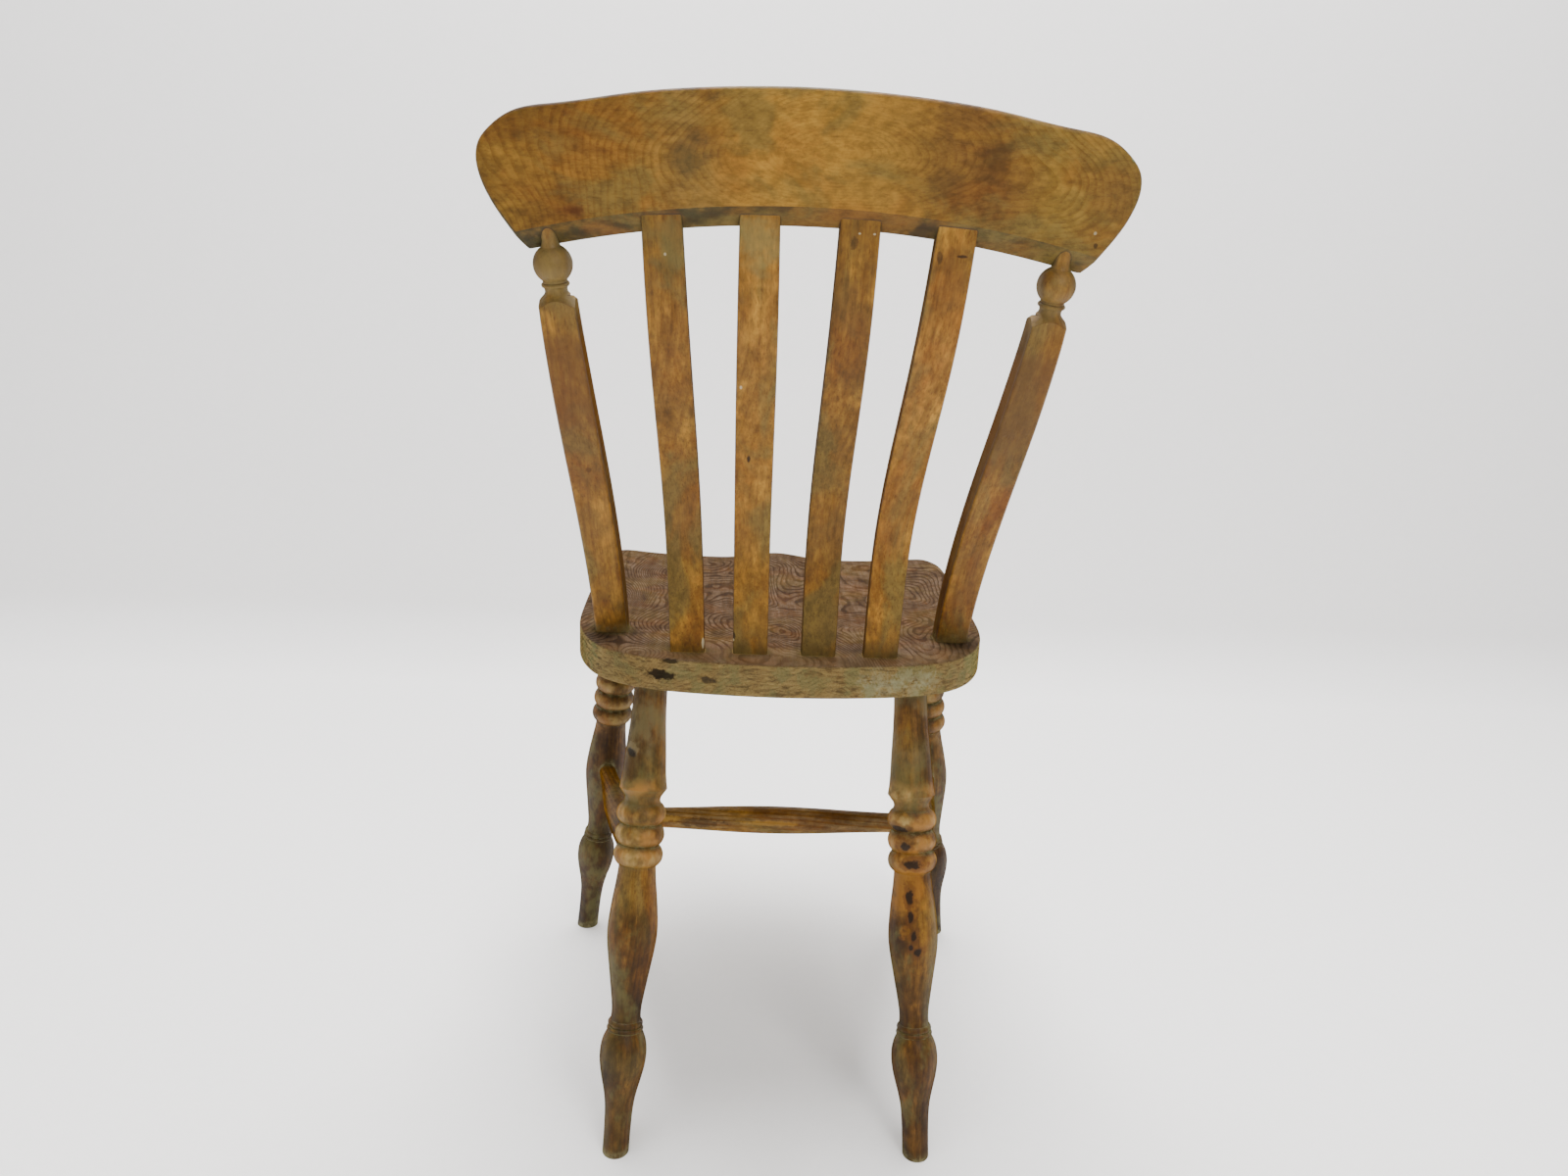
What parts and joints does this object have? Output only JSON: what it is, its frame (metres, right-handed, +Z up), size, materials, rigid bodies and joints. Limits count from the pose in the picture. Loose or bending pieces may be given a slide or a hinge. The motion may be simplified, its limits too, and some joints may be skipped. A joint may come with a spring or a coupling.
{
  "type": "dining chair",
  "caption": "Lath-back Windsor kitchen chair: saddled wooden seat, turned legs with H stretchers, bent flat laths between two turned posts and a broad crest rail.",
  "frame": {"origin": "on the floor, under the middle of the chair's bounding box", "axes": "+Z up; the sitter faces -Y; the sitter's left hand is on +X"},
  "size_m": [0.464, 0.4832, 0.8795],
  "materials": {
    "seat_elm": "old wax over worn stain, satin",
    "leg_wood": "old wax over worn stain, satin",
    "stretcher_wood": "old wax over worn stain, satin",
    "lath_wood": "old wax over worn stain, satin",
    "post_wood": "old wax over worn stain, satin",
    "crest_wood": "old wax over worn stain, satin"
  },
  "bodies": {
    "root": {"seat": "seat_elm", "leg_front_left": "leg_wood", "leg_front_right": "leg_wood", "leg_rear_left": "leg_wood", "leg_rear_right": "leg_wood", "side_stretcher_left": "stretcher_wood", "side_stretcher_right": "stretcher_wood", "cross_stretcher": "stretcher_wood", "lath_outer_left": "lath_wood", "lath_inner_left": "lath_wood", "lath_inner_right": "lath_wood", "lath_outer_right": "lath_wood", "back_post_left": "post_wood", "back_post_right": "post_wood", "crest_rail": "crest_wood"}
  },
  "joints": []
}
